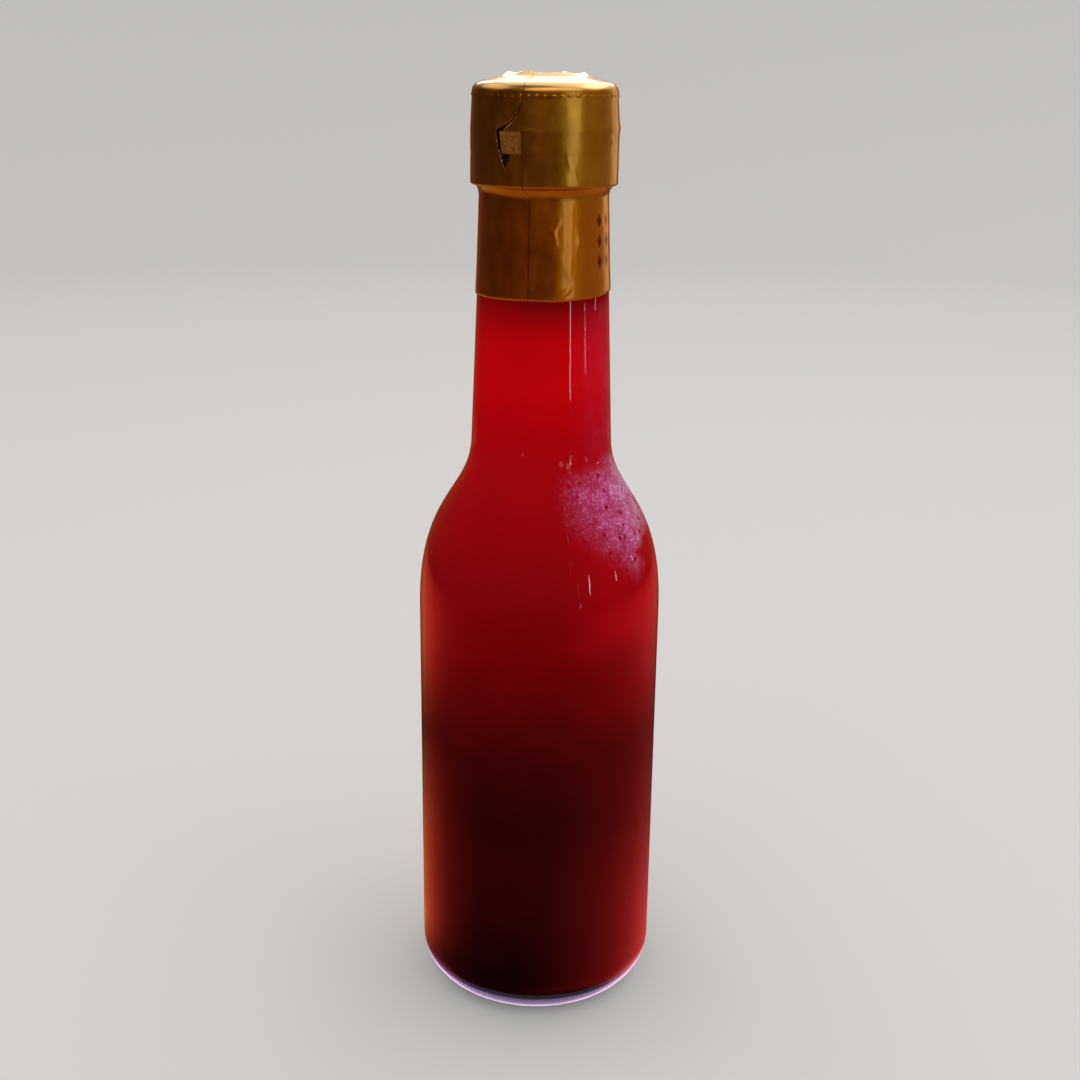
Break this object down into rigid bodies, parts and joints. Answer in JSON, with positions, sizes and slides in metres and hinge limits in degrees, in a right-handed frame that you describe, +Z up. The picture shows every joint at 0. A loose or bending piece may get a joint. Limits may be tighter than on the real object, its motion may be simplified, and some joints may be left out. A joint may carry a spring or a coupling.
{
  "type": "turnip juice bottle",
  "caption": "Slim clear glass bottle filled with red turnip juice, with a rounded shoulder, a tapering neck and a gold shrink capsule over its screw cap, its tear strip opened.",
  "frame": {"origin": "middle of the base, on the surface that the bottle stands on", "axes": "+Z up along the bottle's axis, -Y towards the front where the tear tab shows, +X to the right of the front"},
  "size_m": [0.051, 0.051, 0.196],
  "materials": {
    "glass": "clear, polished",
    "juice": "deep red cloudy drink",
    "cap_shell": "dark, mostly hidden under the capsule",
    "gold_film": "satin metallic gold shrink film",
    "tab_paper": "grainy beige"
  },
  "bodies": {
    "root": {"bottle": "glass", "juice": "juice", "cap": "cap_shell", "capsule": "gold_film", "tear_tab": "tab_paper"}
  },
  "joints": []
}
